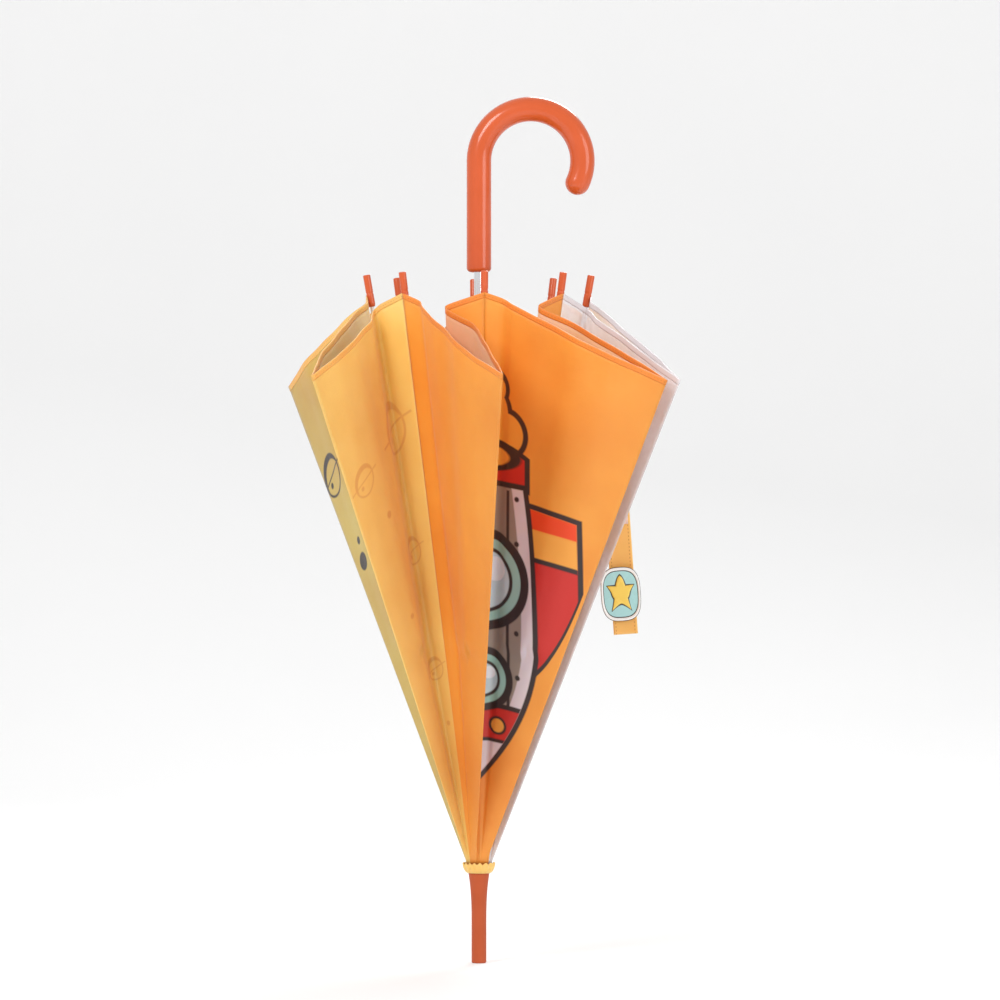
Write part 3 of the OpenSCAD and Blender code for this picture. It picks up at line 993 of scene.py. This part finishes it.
class UMBRELLA_OT_strap(bpy.types.Operator):
    """Make the closing strap with its stitched edges and its hook-and-loop patch"""

    bl_idname = "umbrella.strap"
    bl_label = "Strap"

    def execute(self, context):
        sizes, colours = settings()
        low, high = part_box("strap")
        length, half_w = float(high[2] - low[2]), 0.010
        columns, rows = 17, 60
        x = np.linspace(-1, 1, columns)[None, :]
        t = np.linspace(0, 1, rows)[:, None]
        narrow = 1 - 0.10 * smooth((0.10 - t) / 0.10)
        points = strap_points(x, t, half_w * narrow, length * 0.995)
        uv = np.stack([x * half_w + 0 * t, length * t + 0 * x], -1).reshape(-1, 2)
        strap = new_object("closing_strap", points, grid_faces(rows, columns), uv)
        thicken(strap, sizes.strap_thick)
        n = Nodes("strap_cloth")
        u, v, shade = cloth_shader(n, tuple(colours.yellow))
        seam = n.sub(n.absolute(n.sub(n.absolute(u), 0.0078)), 0.0003)
        dash = n.math("SINE", n.times(v, 2 * math.pi / 0.003))
        mark = n.times(n.inside(seam, 0.0002), n.ramp(dash, -0.3, 0.3))
        n.set(colour=n.mix(mark, shade, (0.55, 0.26, 0.05, 1)))
        dress(strap, n.material)
        patch_rows = 12
        patch_t = np.linspace(0.10, 0.26, patch_rows)[:, None]
        fuzz = 0.0009 + 0.00012 * np.sin(37 * x + 91 * patch_t)
        patch = new_object("strap_patch", strap_points(x, patch_t, 0.82 * half_w, length, fuzz),
                           grid_faces(patch_rows, columns))
        thicken(patch, 0.0007)
        n = Nodes("loop_pile")
        pile = n.noise(1500.0, 3.0)
        n.set(colour=n.mix(pile, (0.74, 0.50, 0.42, 1), (0.93, 0.74, 0.66, 1)), roughness=0.95,
              sheen=0.8, normal=n.bump(pile, 0.9, 0.0003))
        dress(patch, n.material)
        for piece in (strap, patch):
            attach(piece, "strap")
        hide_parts("strap")
        return {"FINISHED"}


class UMBRELLA_OT_badge(bpy.types.Operator):
    """Make the moulded badge with its raised rim and star"""

    bl_idname = "umbrella.badge"
    bl_label = "Badge"

    def execute(self, context):
        sizes, colours = settings()
        down, across, face, off = strap_frame()[1:]
        low, high = (np.array(c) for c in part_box("badge"))
        centre = (low + high) / 2 + off
        centre[1] = float(high[1])
        half_w, half_h = 0.0165, 0.0225
        thick = float(high[1] - low[1])
        sides, rings = 160, 34
        a = np.linspace(0, 2 * math.pi, sides, endpoint=False)
        # A rounded oblong: the superellipse |x / half_w|^3 + |z / half_h|^3 = 1
        power = 2 / 3.0
        ox = half_w * np.sign(np.cos(a)) * np.abs(np.cos(a)) ** power
        oz = half_h * np.sign(np.sin(a)) * np.abs(np.sin(a)) ** power
        t = np.linspace(0, 1, rings)[1:, None]
        star = star_reach(a)
        rim = smooth((t - 0.86) / 0.05) * (1 - smooth((t - 0.97) / 0.03) * 0.8)
        raised = smooth((star - t) / 0.05)
        height = thick * (0.55 + 0.35 * rim + 0.35 * raised)
        front = (centre + (t * ox)[..., None] * across + (t * oz)[..., None] * -down
                 + height[..., None] * face)
        back = centre + (t[::-1] * ox)[..., None] * across + (t[::-1] * oz)[..., None] * -down
        points = np.concatenate([front.reshape(-1, 3), back.reshape(-1, 3),
                                 [centre + face * thick * 0.9, centre]])
        # The UV is the place on the badge's face, with its edge at 1 all round
        reach = np.concatenate([t, t[::-1]])
        uv = np.stack([reach * np.cos(a), reach * np.sin(a)], -1).reshape(-1, 2)
        uv = np.concatenate([uv, [[0, 0], [0, 0]]])
        badge = new_object("strap_badge", points, closed_faces(len(reach), sides), uv)
        outwards(badge)
        n = Nodes("badge_enamel")
        u, v = n.flat()
        reach = n.math("SQRT", n.plus(n.times(u, u), n.times(v, v)))
        angle = n.math("ARCTAN2", v, u)
        off = n.math("MODULO", n.plus(angle, 4 * STAR_STEP - math.pi / 2), STAR_STEP)
        off = n.math("MINIMUM", off, n.sub(STAR_STEP, off))
        under = n.plus(n.times(n.math("COSINE", off), STAR_Y),
                       n.times(n.math("SINE", off), STAR_OUT - STAR_X))
        star_edge = n.math("DIVIDE", STAR_OUT * STAR_Y, under)
        shade = paint(n, (0.40, 0.72, 0.74, 1), [
            (n.sub(0.84, reach), INK), (n.sub(0.875, reach), (0.90, 0.92, 0.92, 1)),
            (n.sub(0.975, reach), INK)])
        star_d = n.sub(reach, star_edge)
        edge = n.inside(n.sub(star_d, 0.045), 0.01)
        fill = n.inside(n.plus(star_d, 0.015), 0.01)
        shade = n.mix(fill, n.mix(edge, shade, INK), (0.93, 0.66, 0.10, 1))
        n.set(colour=shade, roughness=n.plus(n.times(n.noise(80.0), 0.1), 0.22),
              coat=0.5, coat_roughness=0.1, normal=n.bump(n.noise(700.0), 0.15, 0.00004))
        dress(badge, n.material)
        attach(badge, "strap")
        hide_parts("badge")
        return {"FINISHED"}


class UMBRELLA_OT_frame(bpy.types.Operator):
    """Give the shaft, ribs, stretchers, runner and crown their finishes"""

    bl_idname = "umbrella.frame"
    bl_label = "Frame finishes"

    def execute(self, context):
        finishes = {
            "chrome": material("shaft_chrome", metal, (0.90, 0.91, 0.93), 0.10),
            "steel": material("wire_steel", metal, (0.66, 0.67, 0.69), 0.30),
            "rib_white": material("rib_enamel", plastic, (0.80, 0.80, 0.79), 0.28, 0.5),
            "nylon": material("nylon_white", plastic, (0.78, 0.78, 0.75), 0.42, 0.0),
        }
        slots = {p["node"]: p["material_slot"] for p in frame["record"]["subparts"]}
        for name, node in frame["nodes"].items():
            finish = finishes.get(slots.get(name))
            if finish and not node.hide_render:
                dress(node, finish)
        return {"FINISHED"}


class UMBRELLA_OT_stage(bpy.types.Operator):
    """Set the floor, the backdrop, the lights and the camera"""

    bl_idname = "umbrella.stage"
    bl_label = "Stage"

    def execute(self, context):
        # Floor that sweeps up into a backdrop: flat, a quarter turn, then upright
        near, turn_at, r = -3.0, 2.2, 1.2
        a = np.linspace(0, math.pi / 2, 16)
        y = np.concatenate([[near], turn_at + r * np.sin(a), [turn_at + r]])
        z = np.concatenate([[0], r - r * np.cos(a), [4.5]])
        x = np.array([-5.0, 5.0])
        points = np.stack([np.broadcast_to(x, (len(y), 2)), np.repeat(y[:, None], 2, 1),
                           np.repeat(z[:, None], 2, 1)], -1)
        floor = new_object("studio_floor", points, grid_faces(len(y), 2))
        n = Nodes("studio_paper")
        n.set(colour=n.mix(n.noise(3.0), (0.93, 0.93, 0.93, 1), (0.96, 0.96, 0.96, 1)),
              roughness=0.9, normal=n.bump(n.noise(300.0), 0.05, 0.0005))
        dress(floor, n.material)

        world = bpy.data.worlds.new("studio")
        world.use_nodes = True
        world.node_tree.nodes["Background"].inputs[0].default_value = (1, 1, 1, 1)
        world.node_tree.nodes["Background"].inputs[1].default_value = 0.75
        context.scene.world = world

        def lamp(name, place, aim, size, power):
            light = bpy.data.lights.new(name, "AREA")
            light.shape, light.size, light.energy = "DISK", size, power
            obj = bpy.data.objects.new(name, light)
            way = np.array(aim, float) - np.array(place, float)
            obj.rotation_euler = Vector(way).to_track_quat("-Z", "Y").to_euler()
            obj.location = place
            context.scene.collection.objects.link(obj)

        lamp("key", (-1.3, -2.2, 1.9), (0, 0, 0.35), 1.2, 34)
        lamp("fill", (1.9, -1.6, 1.0), (0, 0, 0.4), 1.4, 16)
        lamp("back", (0.5, 1.9, 1.9), (0, 0, 0.45), 1.0, 22)

        camera = bpy.data.objects.new("camera", bpy.data.cameras.new("camera"))
        frame_width, distance, sensor = 0.808, 4.6, 36
        camera.data.sensor_width = sensor
        camera.data.lens = sensor * distance / frame_width
        camera.location = (0.017, -distance, 0.374)
        camera.rotation_euler = (math.pi / 2, 0, 0)
        camera.data.clip_end = 50
        context.scene.collection.objects.link(camera)
        context.scene.camera = camera
        context.scene.view_settings.view_transform = "Standard"
        return {"FINISHED"}


class UMBRELLA_PT_panel(bpy.types.Panel):
    """Lists the steps that build the umbrella"""

    bl_idname = "UMBRELLA_PT_panel"
    bl_label = "Umbrella"
    bl_space_type = "VIEW_3D"
    bl_region_type = "UI"
    bl_category = "Umbrella"

    def draw(self, context):
        for step in STEPS:
            self.layout.operator(step.bl_idname)


STEPS = (UMBRELLA_OT_canopy, UMBRELLA_OT_handle, UMBRELLA_OT_ferrule, UMBRELLA_OT_tips,
         UMBRELLA_OT_rosette, UMBRELLA_OT_strap, UMBRELLA_OT_badge, UMBRELLA_OT_frame,
         UMBRELLA_OT_stage)
CLASSES = (UmbrellaSizes, UmbrellaColours, *STEPS, UMBRELLA_PT_panel)


def register():
    for cls in CLASSES:
        bpy.utils.register_class(cls)
    bpy.types.Scene.umbrella_sizes = bpy.props.PointerProperty(type=UmbrellaSizes)
    bpy.types.Scene.umbrella_colours = bpy.props.PointerProperty(type=UmbrellaColours)


def unregister():
    del bpy.types.Scene.umbrella_sizes
    del bpy.types.Scene.umbrella_colours
    for cls in reversed(CLASSES):
        bpy.utils.unregister_class(cls)


def main():
    register()
    for step in STEPS:
        group, name = step.bl_idname.split(".")
        getattr(getattr(bpy.ops, group), name)()


if __name__ == "__main__":
    main()
